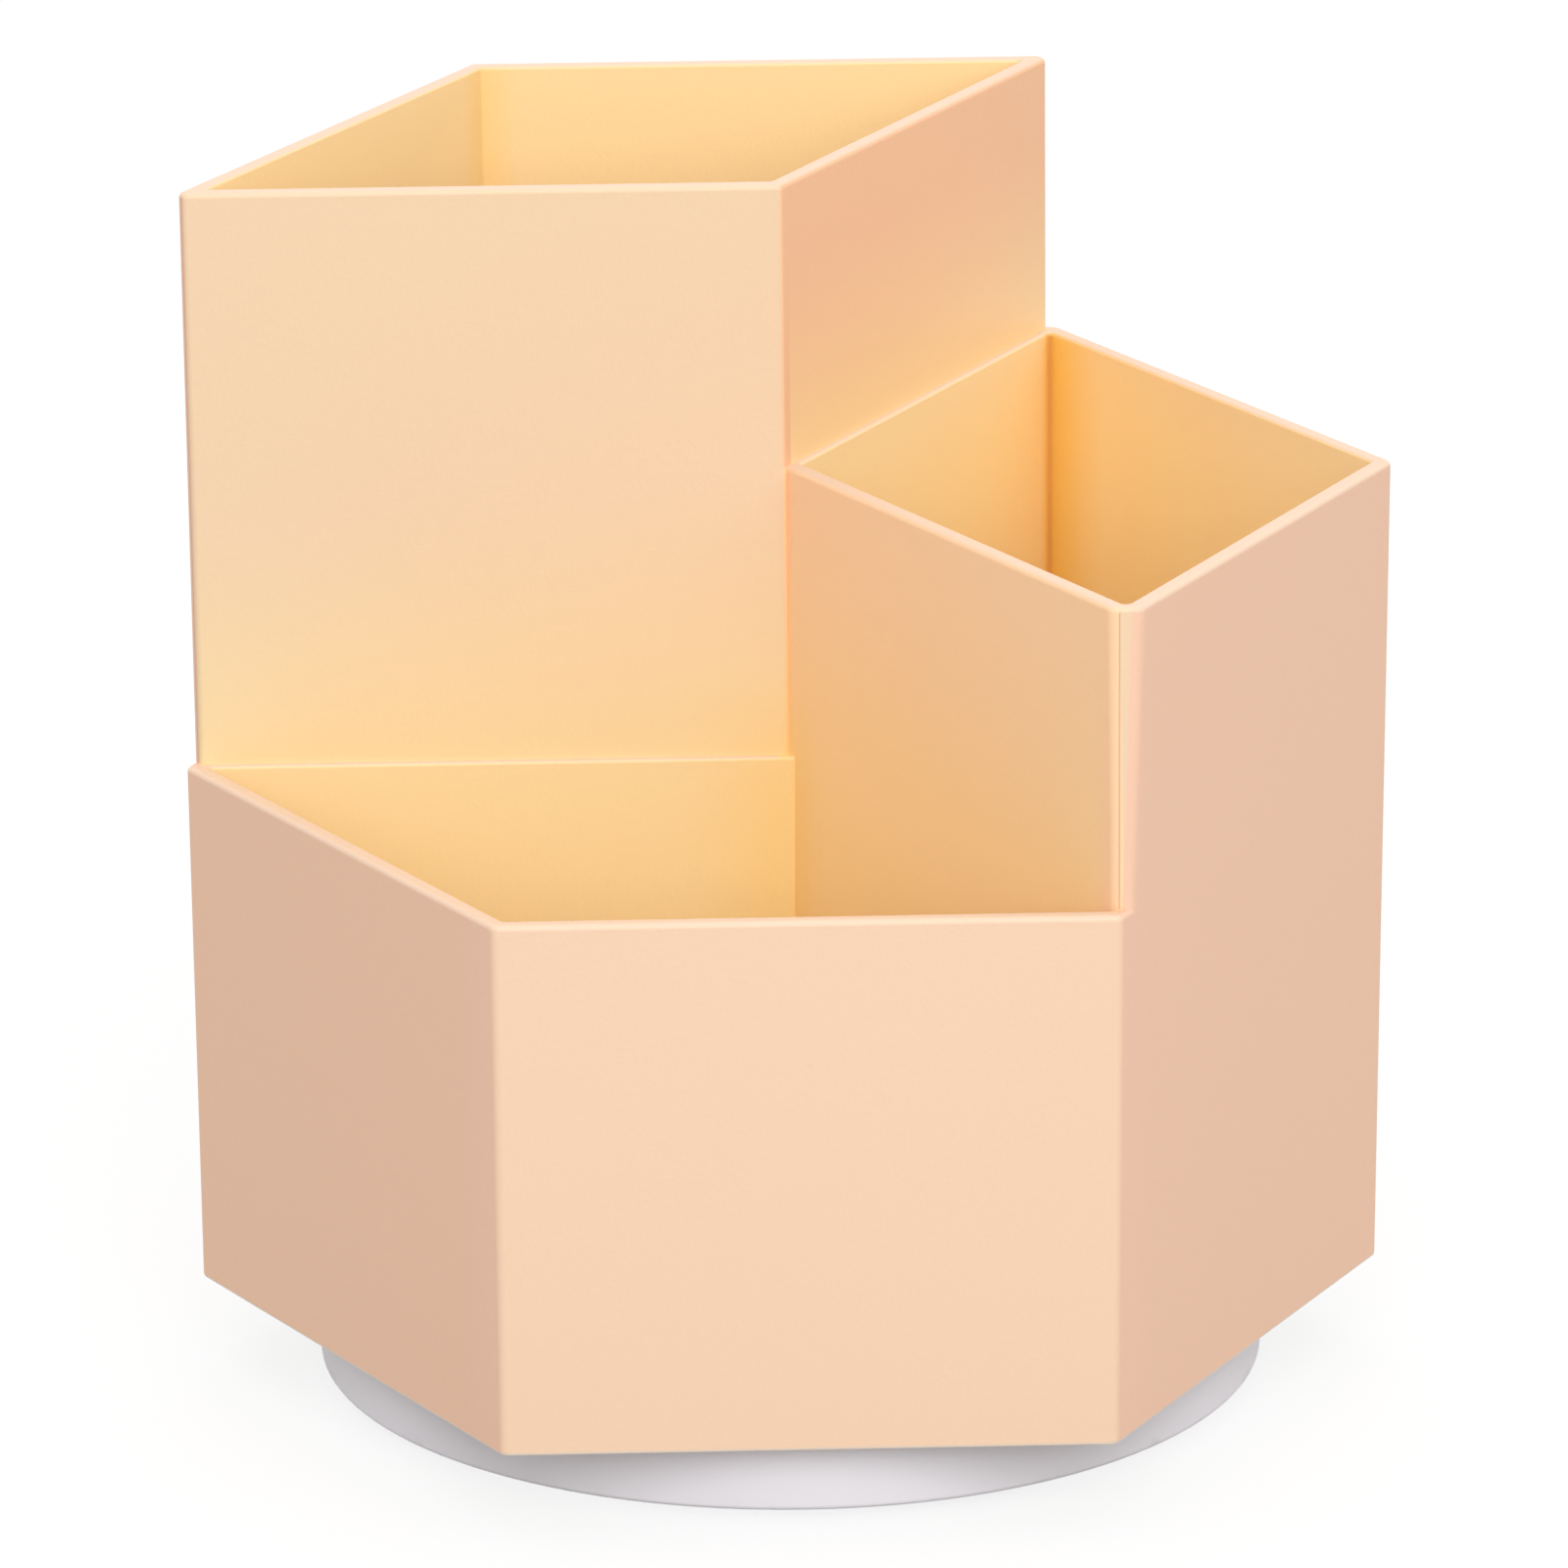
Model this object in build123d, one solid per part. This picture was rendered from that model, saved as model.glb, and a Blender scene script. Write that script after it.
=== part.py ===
import os
from math import cos, radians, sin, tan

from build123d import *

# Rotating pen holder: three open cups in one hexagonal moulding, turning on a round base.
# Millimetres, +Z up. Z is the axis of rotation and the desk is at z = 0.
# Seen from the front (-Y) the tall cup is behind on the left, the medium cup on the right
# and the low cup in front on the left.

# Cup moulding
body_radius = 65.0  # axis to corner at the lower edge
low_height = 59.2  # rims above the lower edge
medium_height = 91.7
tall_height = 123.2
wall = 1.9  # at the rim, thicker below by the draft
floor_thickness = 2.0
outer_draft = 0.4  # degrees
inner_draft = 0.5
tall_set_back = 0.4  # faces behind the lines that part the cups
medium_set_back = 0.6
ledge = 0.65  # a lower wall stands proud of the taller cup's face behind it
wrap = 6.0  # how far a lower cup is carried into the taller one beside it
tall_facet_depth = 1.9  # narrow faces at the ends of the tall walls, at their rim
tall_facet_foot = 1.6  # the same at the lower edge
medium_facet_depth = 3.7  # narrow face at the front end of the medium wall, at its rim
medium_facet_foot = 2.3  # the same where it leaves the low cup
corner_round = 1.2
facet_round = 0.7
nose_round = 1.4  # beside the medium cup's narrow face
centre_round = 0.8
rim_round = 0.6
inner_rim_round = 0.4
cavity_round = 0.5
floor_round = 0.4
edge_round = 0.5

# Underside of the moulding
screw_boss_wall = 1.8
locating_wall = 1.5
locating_depth = 2.5
locating_gap = 0.15
body_rib = 1.5
body_rib_gap = 0.5

# Base and feet
base_inset = 4.3  # base rim inside the flats of the moulding
base_height = 8.0
base_wall = 2.0
base_lower_round = 0.6
base_upper_round = 0.8
deck_thickness = 2.0
edge_lift = 8.5  # lower edge of the moulding above the lower edge of the base
base_rib = 1.2
base_rib_count = 8
base_rib_lift = 0.5
well_wall = 1.5
well_gap = 1.5
track_rib = 1.2
pad_diameter = 10.0
pad_thickness = 2.0
pad_recess = 0.8
pad_gap = 0.1
pad_rim = 1.5
pad_inset = 10.0
pad_round = 0.4
pad_count = 4

# Ball ring
ball_diameter = 4.0
ball_count = 12
ball_play = 0.1
track_depth = 0.9
track_inset = 7.0
cage_thickness = 1.4
cage_margin = 1.4

# Swivel disc and its screws
disc_gap = 1.5
disc_thickness = 2.2
disc_boss_wall = 3.5
seat_gap = 0.3
screw_count = 3
screw_inset = 8.5
screw_diameter = 2.9
screw_head_diameter = 5.6
screw_head_height = 1.5
screw_hole_gap = 0.15
screw_tip_gap = 0.8
thread_gap = 0.02
drive_width = 0.8
drive_depth = 0.9

# Pivot
shoulder_diameter = 5.0
shoulder_gap = 0.05
head_diameter = 9.0
head_height = 2.0
head_round = 0.7
head_lift = 0.7  # head above the lower edge of the base
thread_diameter = 4.0
thread_end_gap = 0.4
spring_diameter = 9.0
spring_height = 0.6
spring_thickness = 0.35
washer_diameter = 11.0
washer_thickness = 0.8
washer_gap = 0.15
axial_play = 0.1
bush_wall = 1.5
flange_width = 2.0
flange_thickness = 1.0
bush_gap = 0.02
hub_wall = 2.5
hub_rise = 2.8
hub_gap = 0.4
hub_side_gap = 0.5
insert_wall = 1.5
insert_length = 5.0
insert_cap = 0.6
insert_groove = 0.3

# Heights, from the desk up
base_rim_z = pad_thickness - pad_recess
head_z = base_rim_z + head_lift
spring_z = head_z + head_height
washer_z = spring_z + spring_height
deck_under_z = washer_z + washer_thickness + axial_play
deck_z = deck_under_z + deck_thickness
ball_z = deck_z - track_depth + ball_play + ball_diameter / 2
disc_under_z = ball_z + ball_diameter / 2 + ball_play - track_depth
disc_z = disc_under_z + disc_thickness
hub_z = deck_z + hub_rise
insert_z = hub_z + hub_gap
disc_boss_z = insert_z + insert_length + insert_cap
floor_under_z = disc_boss_z + seat_gap
floor_z = floor_under_z + floor_thickness
edge_z = base_rim_z + edge_lift
low_z = edge_z + low_height
medium_z = edge_z + medium_height
tall_z = edge_z + tall_height

# Radii, from the outside in
apothem = body_radius * cos(radians(30))
base_radius = apothem - base_inset
deck_radius = base_radius - base_wall
disc_radius = deck_radius - disc_gap
screw_circle = disc_radius - screw_inset
track_radius = screw_circle - track_inset
pad_circle = base_radius - pad_inset
bore_radius = shoulder_diameter / 2 + shoulder_gap
bush_radius = bore_radius + bush_wall
hub_radius = bush_radius + hub_wall
insert_radius = thread_diameter / 2 + insert_wall
disc_boss_radius = insert_radius + disc_boss_wall
well_radius = washer_diameter / 2 + well_gap


def side(angle, distance, level, lean):
    """A flat upright side: direction it faces, distance from the axis at a level, outward lean."""
    slope = tan(radians(lean))
    return angle, distance - slope * level, slope


def reach(face, z):
    """Distance of a side from the axis at height z."""
    return face[1] + face[2] * z


def outer(angle):
    """An outer wall plane of the hexagon."""
    return side(angle, apothem, edge_z, outer_draft)


def inside(face, rim_z, thickness):
    """The cavity side behind a wall, which narrows downwards."""
    return side(face[0], reach(face, rim_z) - thickness, rim_z, inner_draft)


def facet(angle, foot_z, foot_depth, rim_z, rim_depth):
    """A narrow face behind an outer wall plane, with its own depth at its foot and at its rim."""
    foot = reach(outer(angle), foot_z) - foot_depth
    slope = (reach(outer(angle), rim_z) - rim_depth - foot) / (rim_z - foot_z)
    return angle, foot - slope * foot_z, slope


def meeting_point(first, second, z):
    """Where two neighbouring sides cross at height z."""
    a, b = radians(first[0]), radians(second[0])
    p, q = reach(first, z), reach(second, z)
    turn = sin(b - a)
    return Vector((p * sin(b) - q * sin(a)) / turn, (q * cos(a) - p * cos(b)) / turn, z)


def drafted_block(sides, rounds, low, high):
    """A closed block between sides given in counter-clockwise order, with rounded upright edges.

    rounds holds one radius for the edge after each side, 0 for a sharp edge."""
    pairs = list(zip(sides, sides[1:] + sides[:1]))
    bottom = [meeting_point(a, b, low) for a, b in pairs]
    top = [meeting_point(a, b, high) for a, b in pairs]
    faces = [Face(Wire.make_polygon(bottom)), Face(Wire.make_polygon(top))]
    for i in range(len(sides)):
        quad = [bottom[i - 1], bottom[i], top[i], top[i - 1]]
        faces.append(Face(Wire.make_polygon(quad)))
    block = Solid(Shell(faces))
    for lower, upper, radius in zip(bottom, top, rounds):
        if radius:
            edge = block.edges().sort_by_distance((lower + upper) / 2)[0]
            block = block.fillet(radius, [edge])
    return block


def top_face(shape, z):
    """The largest flat face that looks up at height z."""
    level = shape.faces().filter_by(Plane.XY).filter_by_position(Axis.Z, z - 0.01, z + 0.01)
    return level.sort_by(SortBy.AREA)[-1]


def round_outer_rim(block, hidden, z):
    """Round the outer rim of a cup, apart from the hidden sides."""
    edges = top_face(block, z).outer_wire().edges()
    shown = [e for e in edges if not any(on_side(e, face, z) for face in hidden)]
    return block.fillet(rim_round, shown)


def on_side(edge, face, z):
    """Whether the middle of an edge at height z lies on a side."""
    middle = edge @ 0.5
    a = radians(face[0])
    return abs(middle.X * cos(a) + middle.Y * sin(a) - reach(face, z)) < 0.01


def round_inner_rim(shape, z):
    """Round the mouth of the cup whose rim is at height z."""
    return shape.fillet(inner_rim_round, top_face(shape, z).inner_wires()[0].edges())


def cavity(sides, rim_z):
    """The hollow of a cup, rounded in its corners and at its floor."""
    tool = drafted_block(sides, [cavity_round] * len(sides), floor_z, rim_z + rim_round)
    return tool.fillet(floor_round, tool.faces().sort_by(Axis.Z)[0].edges())


def polar(radius, angle, z):
    """A place on a circle round the axis."""
    return Pos(radius * cos(radians(angle)), radius * sin(radians(angle)), z)


def ring(outer_radius, inner_radius, low, high):
    """An upright ring round the axis, or a disc if the inner radius is 0."""
    body = rod(outer_radius, low, high)
    return body - rod(inner_radius, low, high) if inner_radius else body


def rod(radius, low, high):
    """An upright cylinder on the axis between two heights."""
    base = (Align.CENTER, Align.CENTER, Align.MIN)
    return Pos(0, 0, low) * Cylinder(radius, high - low, align=base)


def spoke(angle, start, end, thickness, low, high):
    """A straight upright rib that points away from the axis."""
    size = (Align.MIN, Align.CENTER, Align.MIN)
    bar = Box(end - start, thickness, high - low, align=size)
    return Rot(0, 0, angle) * Pos(start, 0, low) * bar


def drive_cross(width, low, depth):
    """The crossed slots of a screw head that is driven from below."""
    slot = Box(width, drive_width, depth, align=(Align.CENTER, Align.CENTER, Align.MIN))
    return Pos(0, 0, low) * (slot + Rot(0, 0, 90) * slot)


def make_cup_body():
    # Faces of the taller cups that look into the lower ones
    tall_to_low = side(270, -tall_set_back, low_z, -inner_draft)
    tall_to_medium = side(330, -tall_set_back, medium_z, -inner_draft)
    medium_to_low = side(210, -medium_set_back, low_z, -inner_draft)

    # Solid blocks of the three cups, each carried into its taller neighbour
    low_back = [side(30, wrap, low_z, 0), side(90, wrap, low_z, 0)]
    low_sides = low_back + [outer(150), outer(210), outer(270), outer(330)]
    low_rounds = [0, 0, corner_round, corner_round, corner_round, 0]
    low_cup = drafted_block(low_sides, low_rounds, edge_z, low_z)
    low_cup = round_outer_rim(low_cup, low_back, low_z)

    medium_back = side(150, wrap, medium_z, 0)
    medium_rounds = [corner_round, 0, 0, nose_round, nose_round, corner_round]

    def medium_block(front, low, high):
        sides = [outer(30), outer(90), medium_back, medium_to_low, front, outer(330)]
        return drafted_block(sides, medium_rounds, low, high)

    # The narrow face slopes above the low cup and keeps its depth inside it
    slope_z = low_z - wrap / 2
    sloped = facet(270, low_z, medium_facet_foot, medium_z, medium_facet_depth)
    straight = side(270, reach(sloped, slope_z), slope_z, outer_draft)
    medium_cup = round_outer_rim(medium_block(sloped, slope_z, medium_z), [medium_back], medium_z)
    medium_cup += medium_block(straight, edge_z, slope_z)

    tall_facets = [facet(angle, edge_z, tall_facet_foot, tall_z, tall_facet_depth) for angle in (30, 210)]
    tall_sides = [tall_facets[0], outer(90), outer(150), tall_facets[1], tall_to_low, tall_to_medium]
    tall_rounds = [facet_round, corner_round, facet_round, facet_round, centre_round, facet_round]
    tall_cup = drafted_block(tall_sides, tall_rounds, edge_z, tall_z)
    tall_cup = round_outer_rim(tall_cup, [], tall_z)

    # The low hollow reaches into the medium wall, which closes it flush
    beyond = side(30, medium_set_back + wall / 2, low_z, inner_draft)
    low_ledge = side(90, tall_set_back - ledge, low_z, inner_draft)
    low_hollow = [beyond, low_ledge, inside(outer(210), low_z, wall), inside(outer(270), low_z, wall)]
    low_cup = round_inner_rim(low_cup - cavity(low_hollow, low_z), low_z)

    medium_ledge = side(150, tall_set_back - ledge, medium_z, inner_draft)
    medium_hollow = [inside(outer(30), medium_z, wall), medium_ledge]
    medium_hollow += [inside(medium_to_low, medium_z, wall), inside(outer(330), medium_z, wall)]
    tall_hollow = [inside(face, tall_z, wall)
                   for face in (outer(90), outer(150), tall_to_low, tall_to_medium)]
    body = low_cup + medium_cup + tall_cup
    body -= cavity(medium_hollow, medium_z)
    body -= cavity(tall_hollow, tall_z)
    body = round_inner_rim(round_inner_rim(body, medium_z), tall_z)

    # Skirt under the floor
    skirt = [side(angle, apothem - wall, edge_z, outer_draft) for angle in range(30, 390, 60)]
    body -= drafted_block(skirt, [cavity_round] * len(skirt), edge_z, floor_under_z)
    lower_face = body.faces().filter_by(Plane.XY).sort_by(Axis.Z)[0]
    body = body.fillet(edge_round, lower_face.outer_wire().edges())

    # Locating ring, ribs and screw bosses under the floor
    ring_inner = disc_boss_radius + locating_gap
    ring_outer = ring_inner + locating_wall
    body += ring(ring_outer, ring_inner, floor_under_z - locating_depth, floor_under_z)
    rib_end = (apothem - wall / 2) / cos(radians(30))
    for angle in range(0, 360, 60):
        body += spoke(angle, (ring_inner + ring_outer) / 2, rib_end, body_rib,
                      disc_z + body_rib_gap, floor_under_z)
    thread_radius = screw_diameter / 2 + thread_gap
    for place in screw_places():
        body += place * rod(thread_radius + screw_boss_wall, disc_z, floor_under_z)
    for place in screw_places():
        body -= place * rod(thread_radius, disc_z, floor_under_z - screw_tip_gap + thread_gap)
    return body


def screw_places():
    """Where the disc is screwed to the moulding, under the middle of each cup."""
    return [polar(screw_circle, i * 360 / screw_count, 0) for i in range(screw_count)]


def make_swivel_disc():
    disc = rod(disc_radius, disc_under_z, disc_z)
    disc += rod(disc_boss_radius, disc_under_z, disc_boss_z)
    disc -= rod(hub_radius + hub_side_gap, disc_under_z, insert_z)
    disc -= rod(insert_radius + thread_gap, insert_z, insert_z + insert_length)
    disc -= Pos(0, 0, ball_z) * Torus(track_radius, ball_diameter / 2 + ball_play)
    for place in screw_places():
        disc -= place * rod(screw_diameter / 2 + screw_hole_gap, disc_under_z, disc_z)
        disc -= place * screw_head(thread_gap)
    return disc


def screw_head(gap):
    """The countersunk head of a disc screw, or its seat with a gap all round."""
    cone = Cone(screw_head_diameter / 2 + gap, screw_diameter / 2 + gap, screw_head_height,
                align=(Align.CENTER, Align.CENTER, Align.MIN))
    return Pos(0, 0, disc_under_z) * cone


def make_disc_screws():
    screw = screw_head(0)
    screw += rod(screw_diameter / 2, disc_under_z, floor_under_z - screw_tip_gap)
    screw -= drive_cross(screw_head_diameter / 2, disc_under_z, drive_depth)
    return Compound([place * screw for place in screw_places()])


def make_pivot_insert():
    insert = ring(insert_radius, thread_diameter / 2 + thread_gap, insert_z, insert_z + insert_length)
    middle = insert_z + insert_length / 2
    groove = ring(insert_radius, insert_radius - insert_groove,
                  middle - insert_wall / 2, middle + insert_wall / 2)
    return insert - groove


def make_pivot_screw():
    head = rod(head_diameter / 2, head_z, spring_z)
    head = fillet(head.edges().group_by(Axis.Z)[0], head_round)
    screw = head + rod(shoulder_diameter / 2, spring_z, insert_z)
    screw += rod(thread_diameter / 2, insert_z, insert_z + insert_length - thread_end_gap)
    return screw - drive_cross(head_diameter / 2, head_z, drive_depth)


def make_spring_washer():
    inner = shoulder_diameter / 2 + washer_gap
    outer_edge = spring_diameter / 2
    rise = spring_height - spring_thickness
    section = make_face(Polyline((inner, spring_z), (inner, spring_z + spring_thickness),
                                 (outer_edge, spring_z + spring_height), (outer_edge, spring_z + rise),
                                 close=True))
    return revolve(Plane.XZ * section, Axis.Z)


def make_flat_washer():
    inner = shoulder_diameter / 2 + washer_gap
    return ring(washer_diameter / 2, inner, washer_z, washer_z + washer_thickness)


def make_pivot_bush():
    bush = rod(bush_radius, deck_under_z, hub_z)
    bush += rod(bush_radius + flange_width, deck_under_z, deck_under_z + flange_thickness)
    return bush - rod(bore_radius, deck_under_z, hub_z)


def pad_places():
    """Where the feet are, between the ribs of the base."""
    half_step = 180 / base_rib_count
    return [polar(pad_circle, half_step + i * 360 / pad_count, 0) for i in range(pad_count)]


def make_base_shell():
    base_z = base_rim_z + base_height
    shell = rod(base_radius, base_rim_z, base_z)
    shell = fillet(shell.edges().group_by(Axis.Z)[0], base_lower_round)
    shell = fillet(shell.edges().group_by(Axis.Z)[-1], base_upper_round)
    shell -= rod(deck_radius, deck_z, base_z)
    shell -= rod(deck_radius, base_rim_z, deck_under_z)
    shell += rod(hub_radius, deck_under_z, hub_z)

    # Stiffening under the deck
    rib_low = base_rim_z + base_rib_lift
    groove = ball_diameter / 2 + ball_play
    shell += ring(track_radius + groove, track_radius - groove, deck_under_z - track_rib, deck_under_z)
    shell += ring(well_radius + well_wall, well_radius, rib_low, deck_under_z)
    for i in range(base_rib_count):
        shell += spoke(i * 360 / base_rib_count, well_radius + well_wall / 2, deck_radius + base_wall / 2,
                       base_rib, rib_low, deck_under_z)

    # Foot bosses
    pad_seat = pad_diameter / 2 + pad_gap
    for place in pad_places():
        shell += place * rod(pad_seat + pad_rim, base_rim_z, deck_under_z)
        shell -= place * rod(pad_seat, base_rim_z, base_rim_z + pad_recess)

    # Ball track and bush seat
    shell -= Pos(0, 0, ball_z) * Torus(track_radius, groove)
    shell -= rod(bush_radius + bush_gap, deck_under_z, hub_z)
    return shell - rod(bush_radius + flange_width + bush_gap, deck_under_z, deck_under_z + flange_thickness)


def make_foot_pad():
    pad = rod(pad_diameter / 2, 0, pad_thickness)
    return fillet(pad.edges().group_by(Axis.Z)[0], pad_round)


def ball_places():
    """Centres of the balls on their track."""
    return [polar(track_radius, i * 360 / ball_count, ball_z) for i in range(ball_count)]


def make_ball_cage():
    pocket = ball_diameter / 2 + ball_play
    half_width = pocket + cage_margin
    low = ball_z - cage_thickness / 2
    cage = ring(track_radius + half_width, track_radius - half_width, low, low + cage_thickness)
    for place in ball_places():
        cage -= place * Cylinder(pocket, cage_thickness)
    return cage


nodes = {
    "cup_body": make_cup_body(),
    "swivel_disc": make_swivel_disc(),
    "disc_screws": make_disc_screws(),
    "pivot_insert": make_pivot_insert(),
    "pivot_screw": make_pivot_screw(),
    "spring_washer": make_spring_washer(),
    "flat_washer": make_flat_washer(),
    "ball_cage": make_ball_cage(),
    "base_shell": make_base_shell(),
    "pivot_bush": make_pivot_bush(),
}
for number, place in enumerate(ball_places(), 1):
    nodes[f"ball_{number:02d}"] = place * Sphere(ball_diameter / 2)
for number, place in enumerate(pad_places(), 1):
    nodes[f"foot_pad_{number}"] = place * make_foot_pad()

os.makedirs("parts", exist_ok=True)
for name, shape in nodes.items():
    export_step(shape, f"parts/{name}.step")
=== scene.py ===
from math import cos, pi, radians, sin

import bpy
from mathutils import Matrix, Vector


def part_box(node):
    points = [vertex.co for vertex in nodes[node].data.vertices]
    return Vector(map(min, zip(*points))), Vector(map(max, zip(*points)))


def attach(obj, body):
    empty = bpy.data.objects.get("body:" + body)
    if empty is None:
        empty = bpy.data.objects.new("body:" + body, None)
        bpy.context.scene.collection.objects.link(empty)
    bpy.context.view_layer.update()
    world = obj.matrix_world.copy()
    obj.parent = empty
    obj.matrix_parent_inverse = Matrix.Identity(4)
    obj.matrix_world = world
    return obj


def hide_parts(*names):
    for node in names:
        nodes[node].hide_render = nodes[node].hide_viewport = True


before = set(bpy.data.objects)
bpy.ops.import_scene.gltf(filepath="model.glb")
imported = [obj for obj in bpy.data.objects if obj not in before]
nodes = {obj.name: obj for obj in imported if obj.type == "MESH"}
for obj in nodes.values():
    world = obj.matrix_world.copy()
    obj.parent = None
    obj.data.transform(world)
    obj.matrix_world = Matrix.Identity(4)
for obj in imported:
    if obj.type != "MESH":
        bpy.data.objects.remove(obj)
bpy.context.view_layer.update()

# Base shell: the white round stand that stays still on the desk, moulded in one piece from satin
# polypropylene, with a recessed deck and a ball track above, and eight ribs and four foot bosses
# below. Ejector pins have left rings between the ribs.


class Tone:
    """A socket of a node tree. Sums and products of tones and numbers add Math nodes to it."""

    def __init__(self, tree, socket=None):
        self.tree = tree
        self.socket = socket

    def node(self, kind, settings=None, values=None, out=0):
        """A node of any type: its settings first, then the values or tones of its sockets."""
        made = self.tree.nodes.new(kind)
        for name, setting in (settings or {}).items():
            setattr(made, name, setting)
        for name, value in (values or {}).items():
            if isinstance(value, Tone):
                self.tree.links.new(value.socket, made.inputs[name])
            else:
                made.inputs[name].default_value = value
        return Tone(self.tree, made.outputs[out] if made.outputs else None)

    def work(self, operation, first, second=0.0):
        """A Math node, with one or two values."""
        return self.node("ShaderNodeMath", {"operation": operation}, {0: first, 1: second})

    def __add__(self, other):
        return self.work("ADD", self, other)

    def __radd__(self, other):
        return self.work("ADD", other, self)

    def __sub__(self, other):
        return self.work("SUBTRACT", self, other)

    def __rsub__(self, other):
        return self.work("SUBTRACT", other, self)

    def __mul__(self, other):
        return self.work("MULTIPLY", self, other)

    def __rmul__(self, other):
        return self.work("MULTIPLY", other, self)

    def __truediv__(self, other):
        return self.work("DIVIDE", self, other)

    def __abs__(self):
        return self.work("ABSOLUTE", self)

    def fade(self, start, end):
        """0 at the start value and 1 at the end value, with a soft step between them."""
        return self.node("ShaderNodeMapRange", {"interpolation_type": "SMOOTHSTEP"},
                         {"Value": self, "From Min": start, "From Max": end})

    def parts(self):
        """The x, y and z of a vector."""
        split = self.node("ShaderNodeSeparateXYZ", None, {0: self})
        return [Tone(self.tree, split.socket.node.outputs[axis]) for axis in range(3)]

    def tint(self, low, high):
        """The colour that lies between two others by this tone."""
        return self.node("ShaderNodeMix", {"data_type": "RGBA"}, {0: self, 6: low, 7: high}, 2)

    def noise(self, scale, detail):
        """Cloudy variation at this place, about 0.5 on average."""
        return self.node("ShaderNodeTexNoise", None, {"Vector": self, "Scale": scale, "Detail": detail})

    def bump(self, strength, distance):
        """A normal that follows this tone as a height."""
        return self.node("ShaderNodeBump", None,
                         {"Strength": strength, "Distance": distance, "Height": self})


def colour(red, green, blue):
    """A display colour from 0 to 255 as the shader's linear one."""
    shares = [value / 255 for value in (red, green, blue)]
    return [s / 12.92 if s <= 0.04045 else ((s + 0.055) / 1.055) ** 2.4 for s in shares] + [1.0]


def start_finish(name):
    """A new empty finish, and the tone of its Object coordinates."""
    material = bpy.data.materials.new(name)
    material.use_nodes = True
    material.node_tree.nodes.clear()
    place = Tone(material.node_tree).node("ShaderNodeTexCoord", out="Object")
    return material, place


def close_finish(place, values):
    """Ends a finish in a shader with these values and tones."""
    shader = place.node("ShaderNodeBsdfPrincipled", None, values)
    place.node("ShaderNodeOutputMaterial", None, {"Surface": shader})


def dress(material, *names):
    """Gives CAD nodes a finish."""
    for name in names:
        nodes[name].material_slots[0].material = material


base_ribs = 8
bay_angle = 2 * pi / base_ribs
deck_underside = 0.0054
near_deck, at_deck = 0.0004, 0.0002
pin_radius = 0.0022
pin_circles = (0.020, 0.0425)
ring_end, ring_full = 0.00022, 0.00006
scuff_end, scuff_full = 0.0030, 0.0014
patch_start, patch_full = 0.56, 0.72
shell_white, shell_pale = colour(233, 229, 234), colour(239, 236, 240)
scuff_grey = colour(206, 203, 202)
base_white, place = start_finish("base_white")
x, y, z = place.parts()
from_axis = place.work("SQRT", x * x + y * y)
round_axis = place.work("ARCTAN2", y, x)
in_bay = (place.work("FRACT", round_axis / bay_angle) - 0.5) * bay_angle
out_by = from_axis * place.work("COSINE", in_bay)
across = from_axis * place.work("SINE", in_bay)
pin_rings = 0.0
for circle in pin_circles:
    from_pin = place.work("SQRT", (out_by - circle) * (out_by - circle) + across * across)
    pin_rings = pin_rings + abs(from_pin - pin_radius).fade(ring_end, ring_full)
pin_rings = pin_rings * abs(z - deck_underside).fade(near_deck, at_deck)
cloud = place.noise(scale=45.0, detail=3.0)
grain = place.noise(scale=2400.0, detail=2.0)
scuff = place.noise(scale=190.0, detail=6.0).fade(patch_start, patch_full)
scuff = scuff * z.fade(scuff_end, scuff_full)
marks = scuff * 0.5 + pin_rings * 0.3
close_finish(place, {
    "Base Color": marks.tint(cloud.tint(shell_white, shell_pale), scuff_grey),
    "Roughness": 0.34 + 0.16 * grain + 0.12 * scuff,
    "Normal": (grain * 0.12 - pin_rings).bump(strength=0.5, distance=0.0001),
    "Specular IOR Level": 0.4,
})
dress(base_white, "base_shell")

# Foot pads: four grey rubber discs with rings moulded in the sole for grip. Each is glued into
# the shallow round seat of a foot boss and stands 1.2 mm proud of the base.


def start_shape(name, *sizes):
    """A new Geometry Nodes tree with a named input for each size, and the tones of these inputs."""
    tree = bpy.data.node_groups.new(name, "GeometryNodeTree")
    tree.interface.new_socket("Geometry", in_out="OUTPUT", socket_type="NodeSocketGeometry")
    for size in sizes:
        tree.interface.new_socket(size, in_out="INPUT", socket_type="NodeSocketFloat")
    inlet = tree.nodes.new("NodeGroupInput")
    return Tone(tree), [Tone(tree, inlet.outputs[size]) for size in sizes]


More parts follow.
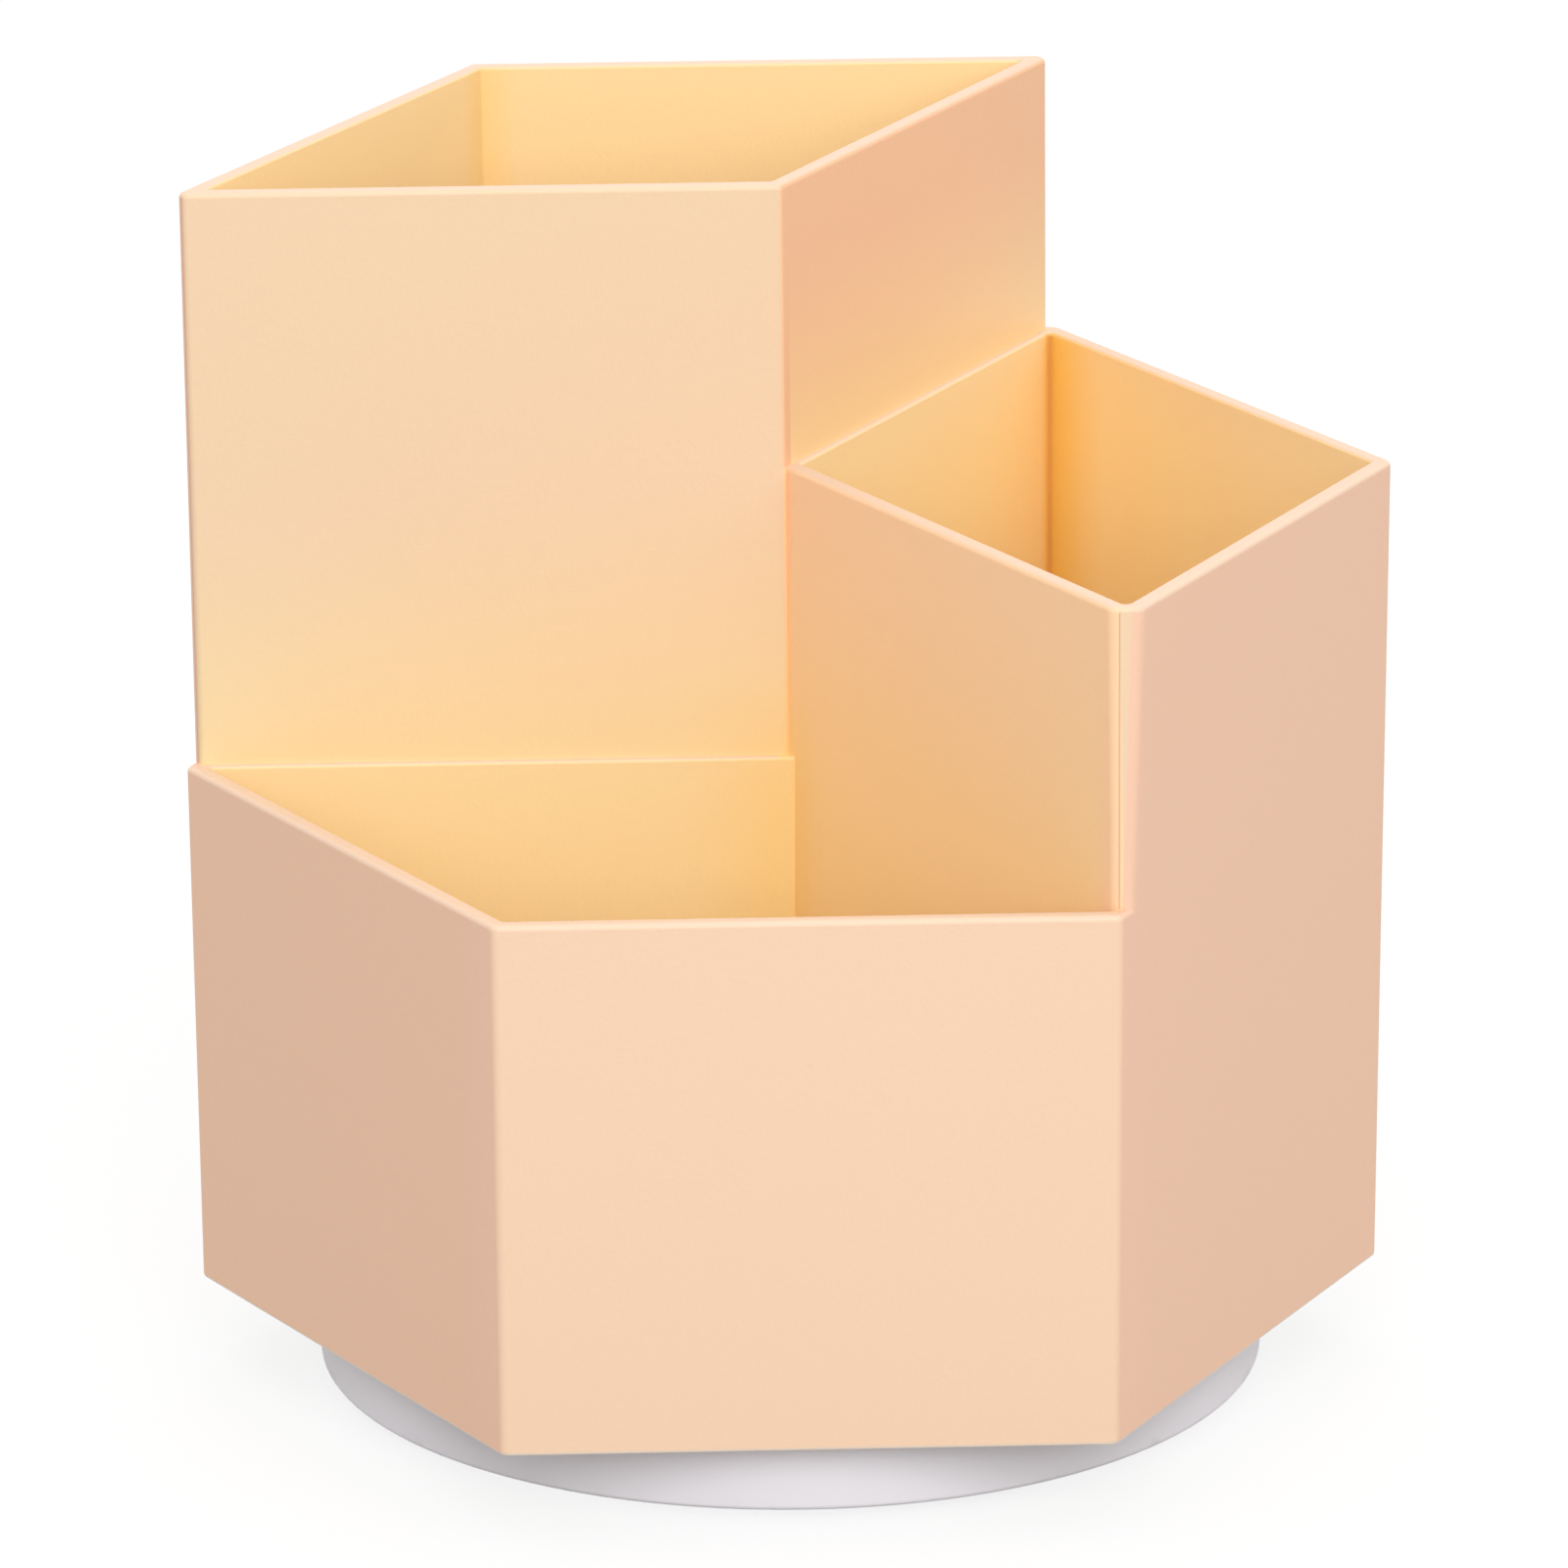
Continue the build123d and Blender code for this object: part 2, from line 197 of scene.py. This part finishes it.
def close_shape(shape, material, sizes):
    """Ends a tree, runs it once with these sizes and keeps the result as a plain mesh."""
    sharp_angle = radians(40)
    tree = shape.tree
    real = shape.node("GeometryNodeRealizeInstances", None, {"Geometry": shape})
    soft = shape.node("GeometryNodeSetShadeSmooth", None, {"Geometry": real, "Shade Smooth": True})
    gentle = shape.work("LESS_THAN", shape.node("GeometryNodeInputMeshEdgeAngle"), sharp_angle)
    soft = shape.node("GeometryNodeSetShadeSmooth", {"domain": "EDGE"},
                      {"Geometry": soft, "Shade Smooth": gentle})
    done = shape.node("GeometryNodeSetMaterial", None, {"Geometry": soft, "Material": material})
    tree.links.new(done.socket, tree.nodes.new("NodeGroupOutput").inputs[0])
    piece = bpy.data.objects.new(tree.name, bpy.data.meshes.new(tree.name))
    bpy.context.scene.collection.objects.link(piece)
    rule = piece.modifiers.new("rule", "NODES")
    rule.node_group = tree
    for entry in tree.interface.items_tree:
        if entry.in_out == "INPUT":
            rule[entry.identifier] = sizes[entry.name]
    shaped = piece.evaluated_get(bpy.context.evaluated_depsgraph_get())
    mesh = bpy.data.meshes.new_from_object(shaped)
    piece.modifiers.remove(rule)
    piece.data = mesh
    return piece


worn_end = 0.0004
rubber_black, rubber_dust = colour(44, 44, 45), colour(78, 77, 75)
pad_rubber, place = start_finish("pad_rubber")
height = place.parts()[2]
dust = place.noise(scale=900.0, detail=5.0)
worn = height.fade(worn_end, 0.0)
close_finish(place, {
    "Base Color": (dust * 0.7 + worn * 0.3).tint(rubber_black, rubber_dust),
    "Roughness": 0.66 + 0.25 * dust + 0.06 * worn,
    "Normal": dust.bump(strength=0.3, distance=0.0002),
})
pad_names = [f"foot_pad_{number}" for number in range(1, 5)]
pad_low, pad_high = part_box("foot_pad_1")
pad_middle = [(a + b) / 2 for a, b in zip(pad_low, pad_high)]
pad_corners, pad_rings = 40, 32
groove_end = 0.0004
pad_sizes = {
    "Pad radius": (pad_high[0] - pad_low[0]) / 2,
    "Thickness": pad_high[2] - pad_low[2],
    "Circle radius": Vector(pad_middle[:2]).length,
    "First angle": radians(22.5),
    "Groove depth": 0.00035,
    "Groove step": 0.00125,
    "Edge round": 0.0004,
}
shape, inputs = start_shape("foot_pads", *pad_sizes)
radius, thickness, circle, first_angle, groove, step, edge = inputs
pad = shape.node("GeometryNodeMeshCylinder", None, {
    "Vertices": pad_corners, "Fill Segments": pad_rings, "Radius": radius, "Depth": thickness})
x, y, z = shape.node("GeometryNodeInputPosition").parts()
from_middle = shape.work("SQRT", x * x + y * y)
wave = 0.5 - 0.5 * shape.work("COSINE", from_middle / step * (2 * pi))
past_land = shape.work("MAXIMUM", from_middle - radius + edge, 0.0)
round_off = edge - shape.work("SQRT", shape.work("MAXIMUM", edge * edge - past_land * past_land, 0.0))
land = (radius - edge - from_middle).fade(0.0, groove_end)
sole = shape.work("LESS_THAN", z, 0.0)
lift = shape.node("ShaderNodeCombineXYZ", None, {"Z": sole * (groove * wave * land + round_off)})
pad = shape.node("GeometryNodeSetPosition", None, {"Geometry": pad, "Offset": lift})
pad = shape.node("GeometryNodeTransform", None, {
    "Geometry": pad, "Translation": shape.node("ShaderNodeCombineXYZ", None, {"Z": thickness / 2})})
seats = shape.node("GeometryNodeMeshCircle", None, {"Vertices": len(pad_names), "Radius": circle})
seats = shape.node("GeometryNodeTransform", None, {
    "Geometry": seats, "Rotation": shape.node("ShaderNodeCombineXYZ", None, {"Z": first_angle})})
shape = shape.node("GeometryNodeInstanceOnPoints", None, {"Points": seats, "Instance": pad})
foot_pads = close_shape(shape, pad_rubber, pad_sizes)
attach(foot_pads, "base")
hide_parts(*pad_names)

# Pivot bush: a white sleeve with a flange at its lower end, turned from acetal. It is pressed into
# the hub of the base from below, and the shoulder of the pivot screw runs in it.
acetal_white, acetal_pale = colour(230, 229, 224), colour(240, 240, 236)
bush_acetal, place = start_finish("bush_acetal")
haze = place.noise(scale=700.0, detail=3.0)
close_finish(place, {
    "Base Color": haze.tint(acetal_white, acetal_pale),
    "Roughness": 0.2 + 0.15 * haze,
})
dress(bush_acetal, "pivot_bush")

# Ball cage: a flat ring of natural nylon with twelve round pockets that keep the balls apart. It is
# moulded, lies loose between the base and the swivel disc, and follows at half the turn of the cups.
nylon_grey, nylon_pale = colour(196, 192, 178), colour(214, 211, 200)
cage_nylon, place = start_finish("cage_nylon")
haze = place.noise(scale=500.0, detail=4.0)
close_finish(place, {
    "Base Color": haze.tint(nylon_grey, nylon_pale),
    "Roughness": 0.4 + 0.2 * haze,
})
dress(cage_nylon, "ball_cage")

# Balls: twelve polished balls of bearing steel, with a smear of grease. They lie loose in the pockets
# of the cage and run in the grooves of the base and the swivel disc.
ball_names = [f"ball_{number:02d}" for number in range(1, 13)]
steel_grey, steel_pale = colour(190, 192, 196), colour(214, 216, 219)
ball_steel, place = start_finish("ball_steel")
smear = place.noise(scale=1200.0, detail=4.0)
close_finish(place, {
    "Base Color": smear.tint(steel_grey, steel_pale),
    "Metallic": 1.0,
    "Roughness": 0.06 + 0.14 * smear,
})
dress(ball_steel, *ball_names)

# Swivel disc: the upper race, moulded from the same white plastic as the base. It is screwed
# under the cups and turns with them, and its boss holds the brass insert of the pivot.
disc_shade, disc_pale = colour(232, 230, 231), colour(241, 239, 239)
disc_white, place = start_finish("disc_white")
cloud = place.noise(scale=60.0, detail=3.0)
grain = place.noise(scale=2400.0, detail=2.0)
close_finish(place, {
    "Base Color": cloud.tint(disc_shade, disc_pale),
    "Roughness": 0.36 + 0.16 * grain,
    "Normal": grain.bump(strength=0.12, distance=0.0001),
})
dress(disc_white, "swivel_disc")

# Pivot insert: a brass sleeve with a thread inside and a groove round its middle, turned from bar.
# It is pressed into the boss of the swivel disc, and the pivot screw is screwed into it.
brass_dark, brass_pale = colour(186, 150, 82), colour(212, 178, 108)
insert_brass, place = start_finish("insert_brass")
turning = place.noise(scale=1500.0, detail=2.0)
close_finish(place, {
    "Base Color": turning.tint(brass_dark, brass_pale),
    "Metallic": 1.0,
    "Roughness": 0.25 + 0.2 * turning,
})
dress(insert_brass, "pivot_insert")

# Disc screws: three countersunk self-tapping screws of zinc plated steel with a cross recess. They
# go up through the swivel disc into the bosses under the cups, one below the middle of each.
zinc_dark, zinc_pale = colour(158, 161, 166), colour(188, 189, 188)
zinc_steel, place = start_finish("zinc_steel")
bloom = place.noise(scale=800.0, detail=4.0)
stain = place.noise(scale=240.0, detail=2.0)
close_finish(place, {
    "Base Color": (bloom * 0.7 + stain * 0.3).tint(zinc_dark, zinc_pale),
    "Metallic": 1.0,
    "Roughness": 0.26 + 0.25 * bloom,
})


def make_screws(name, material, segments, count, sizes):
    """Screws that stand head down on a circle: a head, a shoulder and a thread from one rod."""
    rod_corners = 32
    ridge_slope = 4
    tip_share = 0.4
    blade_corners = 4
    slot_narrowing = 0.6
    slot_width_share = 0.28
    slot_sink = -0.00001
    shape, inputs = start_shape(name, *sizes)
    lowest, length, head, head_height, head_taper, head_round, *inputs = inputs
    shoulder, shoulder_end, thread, root, pitch, tip, slot, slot_depth, circle = inputs
    rod = shape.node("GeometryNodeMeshCylinder", None, {
        "Vertices": rod_corners, "Side Segments": segments, "Radius": 1.0, "Depth": length})
    x, y, z = shape.node("GeometryNodeInputPosition").parts()
    up = z + length / 2
    tooth = shape.work("FRACT", up / pitch - shape.work("ARCTAN2", y, x) * (1 / (2 * pi)))
    ridge = shape.work("MAXIMUM", 1 - ridge_slope * abs(tooth - 0.5), 0.0)
    ridge = ridge * up.fade(shoulder_end, shoulder_end + pitch) * (length - up).fade(0.0, pitch)
    point = shape.work("MINIMUM", tip_share + (1 - tip_share) * (length - up) / tip, 1.0)
    past_round = shape.work("MAXIMUM", head_round - up, 0.0)
    rounded = head_round - shape.work("SQRT", head_round * head_round - past_round * past_round)
    in_head = shape.work("LESS_THAN", up, head_height)
    in_shoulder = shape.work("LESS_THAN", up, shoulder_end)
    swell = shape.work("MAXIMUM", in_head * (head - head_taper * up - rounded), in_shoulder * shoulder)
    swell = shape.work("MAXIMUM", swell, (root + (thread - root) * ridge) * point)
    turned = shape.node("ShaderNodeCombineXYZ", None, {"X": x * swell, "Y": y * swell, "Z": up})
    screw = shape.node("GeometryNodeSetPosition", None, {"Geometry": rod, "Position": turned})
    for half_turns in (0.25, 0.75):
        blade = shape.node("GeometryNodeMeshCone", None, {
            "Vertices": blade_corners, "Radius Top": slot * slot_narrowing, "Radius Bottom": slot,
            "Depth": slot_depth})
        blade = shape.node("GeometryNodeTransform", None, {
            "Geometry": blade, "Rotation": (0.0, 0.0, pi / 4)})
        blade = shape.node("GeometryNodeTransform", None, {
            "Geometry": blade, "Translation": (0.0, 0.0, slot_sink),
            "Rotation": (0.0, 0.0, half_turns * pi), "Scale": (1.0, slot_width_share, 1.0)})
        screw = shape.node("GeometryNodeMeshBoolean", {"operation": "DIFFERENCE", "solver": "EXACT"}, {
            "Mesh 1": screw, "Mesh 2": blade})
    screw = shape.node("GeometryNodeTransform", None, {
        "Geometry": screw, "Translation": shape.node("ShaderNodeCombineXYZ", None, {"Z": lowest})})
    if count > 1:
        ring = shape.node("GeometryNodeMeshCircle", None, {"Vertices": count, "Radius": circle})
        screw = shape.node("GeometryNodeInstanceOnPoints", None, {"Points": ring, "Instance": screw})
    return close_shape(screw, material, sizes)


screws_low, screws_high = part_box("disc_screws")
tapping_head = 0.0028
tapping_screws = make_screws("tapping_screws", zinc_steel, segments=96, count=3, sizes={
    "Lowest": screws_low[2],
    "Length": screws_high[2] - screws_low[2],
    "Head radius": tapping_head,
    "Head height": 0.0015,
    "Head taper": 0.9,
    "Head round": 0.00001,
    "Shoulder radius": 0.0,
    "Shoulder end": 0.0015,
    "Thread radius": 0.00145,
    "Root radius": 0.00105,
    "Pitch": 0.0011,
    "Tip length": 0.0012,
    "Slot reach": 0.0021,
    "Slot depth": 0.0009,
    "Circle radius": screws_high[0] - tapping_head,
})
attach(tapping_screws, "holder")
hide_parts("disc_screws")

# Pivot screw and washers: a zinc plated shoulder screw with a pan head holds the base under the
# cups. It goes up through a spring washer, a flat washer and the bush into the brass insert.
pivot_low, pivot_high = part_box("pivot_screw")
shoulder_screw = make_screws("shoulder_screw", zinc_steel, segments=200, count=1, sizes={
    "Lowest": pivot_low[2],
    "Length": pivot_high[2] - pivot_low[2],
    "Head radius": 0.0045,
    "Head height": 0.0020,
    "Head taper": 0.0,
    "Head round": 0.0007,
    "Shoulder radius": 0.0025,
    "Shoulder end": 0.0087,
    "Thread radius": 0.0020,
    "Root radius": 0.0016,
    "Pitch": 0.0007,
    "Tip length": 0.0006,
    "Slot reach": 0.0033,
    "Slot depth": 0.0011,
    "Circle radius": 0.0,
})
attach(shoulder_screw, "holder")
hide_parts("pivot_screw")
dress(zinc_steel, "spring_washer", "flat_washer")

# Cup moulding: three open rhombic cups of three heights in one hexagonal moulding of apricot
# polypropylene, with a fine satin texture from the mould. The swivel disc is screwed under it.
# The plastic lets some light through. The colours below paint that light and the shade in: a golden glow in
# the cups, lighter and darker copies of the apricot on its faces, and lit and shaded corners.
side_length = 0.065
apothem = side_length * cos(radians(30))
edge_z = 0.0097
low_z, medium_z, tall_z = 0.0689, 0.1014, 0.1329
wall = 0.0019
outer_lean, inner_lean = 0.00698, 0.00873
tall_set_back, medium_set_back, ledge = 0.0004, 0.0006, 0.00065
# Painted light on the outer faces: a lit copy of the apricot for the front, a shaded copy for the sides and
# a half-lit one on the sides near the front
lit_front_apricot = colour(240, 205, 174)
shaded_side_apricot = colour(239, 195, 165)
half_lit_apricot = colour(241, 196, 168)
# Painted light and shade on the walls over the cups: their own copy of the apricot, a warmer one for light
# bounced onto the medium wall over the low cup, and a deeper one for painted shade on the tall face over
# the medium cup
upper_apricot = colour(235, 204, 169)
bounce_lit_apricot = colour(253, 208, 165)
shaded_right_apricot = colour(242, 189, 147)
flow_apricot = colour(255, 224, 190)
# Painted light inside the cups: a golden glow of light through the plastic, lighter at the right end of the
# medium cup
low_inside_light = colour(245, 218, 160)
medium_inside_light = colour(253, 222, 162)
tall_inside_light = colour(249, 218, 163)
end_inside_light = colour(254, 225, 169)
bounce_inside_light = colour(253, 215, 155)
# Painted light and shade in the inner corners: a bright orange where light is caught and a dark orange in
# the medium cup's crease
caught_light_orange = colour(247, 200, 97)
crease_shade_orange = colour(216, 150, 64)
# Painted light on the rims: the tone of their thin edges, set for the light through them and from the lamps
# above
rim_light_cream = colour(234, 202, 175)
# Painted highlight: a pale line along the lower edge, a reflection of the floor on its rounding
foot_highlight_cream = colour(253, 236, 220)
# Painted shade: the brown of the parting lines stands in for the shade in their small grooves
line_shade_brown = colour(196, 140, 98)
cup_apricot, place = start_finish("cup_apricot")

# How far a place lies towards the right back and the left back face, and the middle of the outer wall
x, y, z = place.parts()
right_back = x * cos(radians(30)) + y * sin(radians(30))
left_back = y * sin(radians(150)) + x * cos(radians(150))
mid_wall = apothem - edge_z * outer_lean - wall / 2 + z * outer_lean
soft_edge = 0.00005


def beyond(value, limit):
    """1 where a value is over a limit."""
    return (value - limit).fade(-soft_edge, soft_edge)


def under(value, limit):
    """1 where a value is under a limit."""
    return (limit - value).fade(-soft_edge, soft_edge)


# Hollows, bounded by the middles of their walls. In them the colour is a painted golden glow of light
# through the plastic, which fades above a rim
tall_mid_wall, medium_mid_wall = tall_set_back + wall / 2, medium_set_back + wall / 2
tall_reach, medium_reach = 0.0538, 0.0530
low_end, low_full = -0.0535, -0.0505
medium_glow_up, medium_glow_down = 0.024, 0.012
low_glow_up, low_glow_down = 0.034, 0.014
tall_hollow = under(y, mid_wall) * under(left_back, mid_wall) * beyond(y, tall_mid_wall)
tall_hollow = tall_hollow * beyond(left_back, tall_mid_wall) * under(abs(right_back), tall_reach)
medium_hollow = under(right_back, mid_wall) * beyond(left_back, -1 * mid_wall)
medium_hollow = medium_hollow * under(left_back, tall_mid_wall) * beyond(right_back, medium_mid_wall)
medium_hollow = medium_hollow * beyond(y, -medium_reach)
low_space = beyond(right_back, -1 * mid_wall) * under(y, tall_mid_wall) * under(right_back, medium_mid_wall)
low_hollow = low_space * beyond(y, -1 * mid_wall) * y.fade(low_end, low_full)
hollow = tall_hollow + medium_hollow * z.fade(medium_z + medium_glow_up, medium_z - medium_glow_down)
hollow = hollow + low_hollow * z.fade(low_z + low_glow_up, low_z - low_glow_down)

# Faces painted lighter or darker for how the light falls on them: the walls over the low and the medium
# cup, the front and the lower edge
bounce_start = 0.0002
right_shade_start, right_shade_full = -0.0001, 0.0006
front_start, front_full = 0.0004, 0.0009
side_light_start, side_light_full = -0.0065, 0.0005
foot_end, foot_full = 0.00050, 0.00025
# Painted bounced light on the medium wall over the low cup, and painted shade on the tall face over the
# medium cup
bounce_light = low_space * beyond(right_back, bounce_start)
right_face_shade = right_back.fade(right_shade_start, right_shade_full) * under(left_back, tall_mid_wall) * beyond(z, medium_z)
within = under(abs(y), mid_wall) * under(abs(left_back), mid_wall) * under(abs(right_back), mid_wall)
outside = 1 - within
past_front = -1 * y - mid_wall
# Painted light: the lit front colour, and a half-lit band on the sides that fades in towards the front
front = past_front.fade(front_start, front_full)
side_light_fade = past_front.fade(side_light_start, side_light_full)
# Painted highlight along the lower edge of the outer faces
foot = outside * z.fade(edge_z + foot_end, edge_z + foot_full)

# Rims, down to where their rounding ends, where painted light gives them their own tone
rim_end, rim_full = 0.00025, 0.00005
outer_rim_end, outer_rim_full = 0.00045, 0.00015
over_rim = 0.0001
rim_at_tall_wall = 0.00038
medium_rim_start, low_rim_end = 0.0003, -0.0008


def rim_top(level):
    """1 on the top of a rim and its outer rounding, less far down on the inner side."""
    return z.fade(level - rim_end - outer_rim_end * outside, level - rim_full - outer_rim_full * outside)


medium_rim = rim_top(medium_z) * under(z, medium_z + over_rim)
medium_rim = medium_rim * under(left_back, rim_at_tall_wall) * beyond(right_back, medium_rim_start)
low_rim = rim_top(low_z) * under(z, low_z + over_rim)
low_rim = low_rim * under(y, rim_at_tall_wall) * under(right_back, low_rim_end)
rim = rim_top(tall_z) + medium_rim + low_rim

# Corners with painted light and shade: a painted glow where light is caught between two inner faces, with
# how far it spreads on them, and painted shade in the medium cup's crease
medium_back_spread, medium_side_spread = 0.010, 0.0020
medium_caught_up, medium_caught_down = 0.0002, 0.0008
crease_end, crease_full = 0.0009, 0.0003
tall_spread = 0.004
low_side_spread, low_back_spread = 0.007, 0.012
low_caught_up, low_caught_down = 0.012, 0.004
corner_share = 0.35
medium_side = apothem + (medium_z - edge_z) * outer_lean - wall - (medium_z - z) * inner_lean
from_side = medium_side - right_back
from_back = tall_set_back - ledge - (medium_z - z) * inner_lean - left_back
in_medium = medium_hollow * z.fade(medium_z + medium_caught_up, medium_z - medium_caught_down)
caught = in_medium * from_back.fade(medium_back_spread, 0.0) * from_side.fade(medium_side_spread, 0.0)
crease_shade = in_medium * from_back.fade(crease_end, crease_full) * from_side.fade(crease_end, crease_full)
tall_side = apothem + (tall_z - edge_z) * outer_lean - wall - (tall_z - z) * inner_lean
tall_corner = (tall_side - y).fade(tall_spread, 0.0) * (tall_side - left_back).fade(tall_spread, 0.0)
low_corner = (tall_set_back - y).fade(low_side_spread, 0.0)
low_corner = low_corner * (medium_set_back - right_back).fade(low_back_spread, 0.0)
low_corner = low_corner * z.fade(low_z + low_caught_up, low_z - low_caught_down)
caught = caught + corner_share * tall_hollow * tall_corner + corner_share * low_hollow * low_corner

# Parting lines of the mould on the narrow faces at the ends of the medium and the tall wall: the grooves
# are real bumps, their brown colour is painted shade
line_stop = 0.0006
medium_line_x, medium_line_y = 0.03262, -0.0525
medium_line_end, medium_line_full = 0.00011, 0.00005
tall_line_reach, tall_line_depth = 0.0540, 0.0006
tall_line_end, tall_line_full = 0.00010, 0.00004
medium_line = abs(x - medium_line_x).fade(medium_line_end, medium_line_full) * under(y, medium_line_y)
medium_line = medium_line * beyond(z, low_z) * under(z, medium_z - line_stop)
from_face = mid_wall + wall / 2 - left_back
tall_line = abs(from_face - tall_line_depth).fade(tall_line_end, tall_line_full)
tall_line = tall_line * beyond(-1 * right_back, tall_line_reach) * under(x, 0.0)
tall_line = tall_line * beyond(z, low_z) * under(z, tall_z - line_stop)
parting = medium_line + tall_line

# The colours of these zones together, most of them painted light and shade, with the flow of the plastic
# and the texture of the mould
end_start, end_full = 0.034, 0.062
flow_strength, line_strength, line_depth = 0.05, 0.6, 2.0
flow = place.noise(scale=28.0, detail=3.0)
grain = place.noise(scale=1900.0, detail=3.0)
upper = right_face_shade.tint(bounce_light.tint(upper_apricot, bounce_lit_apricot), shaded_right_apricot)
# Painted light: the golden glow in the medium cup grows lighter towards its right end
medium_tone = x.fade(end_start, end_full).tint(medium_inside_light, end_inside_light)
inside_light = medium_hollow.tint(tall_hollow.tint(low_inside_light, tall_inside_light), medium_tone)
inside_light = bounce_light.tint(inside_light, bounce_inside_light)
inside = crease_shade.tint(caught.tint(hollow.tint(upper, inside_light), caught_light_orange), crease_shade_orange)
faces = foot.tint(front.tint(side_light_fade.tint(shaded_side_apricot, half_lit_apricot), lit_front_apricot), foot_highlight_cream)
apricot = rim.tint(outside.tint(inside, faces), rim_light_cream)
apricot = (line_strength * parting).tint(apricot, line_shade_brown)
close_finish(place, {
    "Base Color": (flow * flow_strength).tint(apricot, flow_apricot),
    "Roughness": 0.42 + 0.16 * grain,
    "Normal": (grain - line_depth * parting).bump(strength=0.15, distance=0.0002),
    "Specular IOR Level": 0.5,
})
dress(cup_apricot, "cup_body")

# Floor: a wide pale sheet that keeps the shadow and is seen as white. It is clear from below and
# under the middle of the base, so that the underside of the object can be looked at.
floor_reach = 6.0
window_end, window_full = 0.0465, 0.0455
glow_share = 0.82
sheet_grey, sheet_white = (0.36, 0.36, 0.36, 1.0), (0.95, 0.95, 0.95, 1.0)
full_white = (1.0, 1.0, 1.0, 1.0)
corners = [(-floor_reach, -floor_reach, 0), (floor_reach, -floor_reach, 0),
           (floor_reach, floor_reach, 0), (-floor_reach, floor_reach, 0)]
floor_mesh = bpy.data.meshes.new("floor")
floor_mesh.from_pydata(corners, [], [(0, 1, 2, 3)])
floor = bpy.data.objects.new("floor", floor_mesh)
bpy.context.scene.collection.objects.link(floor)
floor_white, place = start_finish("floor_white")


def seen_white(place):
    """1 for the rays that show the background, straight or in a shiny or clear surface."""
    rays = place.node("ShaderNodeLightPath").socket.node.outputs
    camera, glossy, through = [Tone(place.tree, rays[f"Is {kind} Ray"])
                               for kind in ("Camera", "Glossy", "Transmission")]
    return place.work("MINIMUM", camera + glossy + through, 1.0)


seen = seen_white(place)
sheet = place.node("ShaderNodeBsdfDiffuse", None, {"Color": seen.tint(sheet_grey, sheet_white)})
glow = place.node("ShaderNodeEmission", None, {"Color": full_white, "Strength": 1.0})
surface = place.node("ShaderNodeMixShader", None, {0: glow_share * seen, 1: sheet, 2: glow})
x, y = place.parts()[:2]
under_base = place.work("SQRT", x * x + y * y).fade(window_end, window_full)
window = place.work("MAXIMUM", under_base, place.node("ShaderNodeNewGeometry", out="Backfacing"))
clear = place.node("ShaderNodeBsdfTransparent")
surface = place.node("ShaderNodeMixShader", None, {0: window, 1: surface, 2: clear})
place.node("ShaderNodeOutputMaterial", None, {"Surface": surface})
floor_mesh.materials.append(floor_white)

# Studio light: two wide soft lamps in front, three behind and one above, with pale air all round.
# Two of those behind stand low and to the sides, where the rims don't mirror them to the camera.
lamp_aim = Vector((0.0, 0.0, 0.06))
air_level = 0.75


def add_lamp(name, turn, rise, distance, width, watts):
    """A square soft lamp at an angle round the object and an angle above the floor."""
    data = bpy.data.lights.new(name, "AREA")
    data.shape = "SQUARE"
    data.size = width
    data.energy = watts
    turn, rise = radians(turn), radians(rise)
    away = Vector((cos(turn) * cos(rise), sin(turn) * cos(rise), sin(rise)))
    lamp = bpy.data.objects.new(name, data)
    lamp.location = lamp_aim + distance * away
    lamp.rotation_euler = (-away).to_track_quat("-Z", "Y").to_euler()
    bpy.context.scene.collection.objects.link(lamp)


add_lamp("front", turn=270, rise=30, distance=1.3, width=0.8, watts=8.1)
add_lamp("front_right", turn=315, rise=32, distance=1.3, width=0.8, watts=2.1)
add_lamp("behind", turn=90, rise=50, distance=1.3, width=0.8, watts=2.0)
add_lamp("behind_right", turn=52, rise=12, distance=1.3, width=0.5, watts=1.8)
add_lamp("behind_left", turn=128, rise=12, distance=1.3, width=0.5, watts=1.8)
add_lamp("above", turn=0, rise=90, distance=1.24, width=1.2, watts=1.5)
world = bpy.data.worlds.new("studio")
bpy.context.scene.world = world
world.use_nodes = True
world.node_tree.nodes.clear()
air = Tone(world.node_tree)
pale = air.node("ShaderNodeBackground", None, {
    "Color": full_white, "Strength": air_level + (1 - air_level) * seen_white(air)})
air.node("ShaderNodeOutputWorld", None, {"Surface": pale})

# Camera: a long lens more than a metre away, a little above the cups and slightly left of the front.
# Its place and its lens were fitted to the corners of the moulding in the photograph.
camera_turn = radians(-2.0056)
camera_tilt = radians(17.8176)
camera_roll = radians(-0.3452)
camera_distance = 1.161181
camera_aim = Vector((-0.000422, -0.001726, 0.066287))
lens = bpy.data.cameras.new("camera")
lens.sensor_width = 36.0
lens.lens = 244.755
camera = bpy.data.objects.new("camera", lens)
turn = Matrix.Rotation(camera_turn, 4, "Z") @ Matrix.Rotation(pi / 2 - camera_tilt, 4, "X")
turn = turn @ Matrix.Rotation(camera_roll, 4, "Z")
back = turn.to_3x3() @ Vector((0.0, 0.0, camera_distance))
camera.matrix_world = Matrix.Translation(camera_aim + back) @ turn
bpy.context.scene.collection.objects.link(camera)
bpy.context.scene.camera = camera
bpy.context.scene.view_settings.view_transform = "Standard"
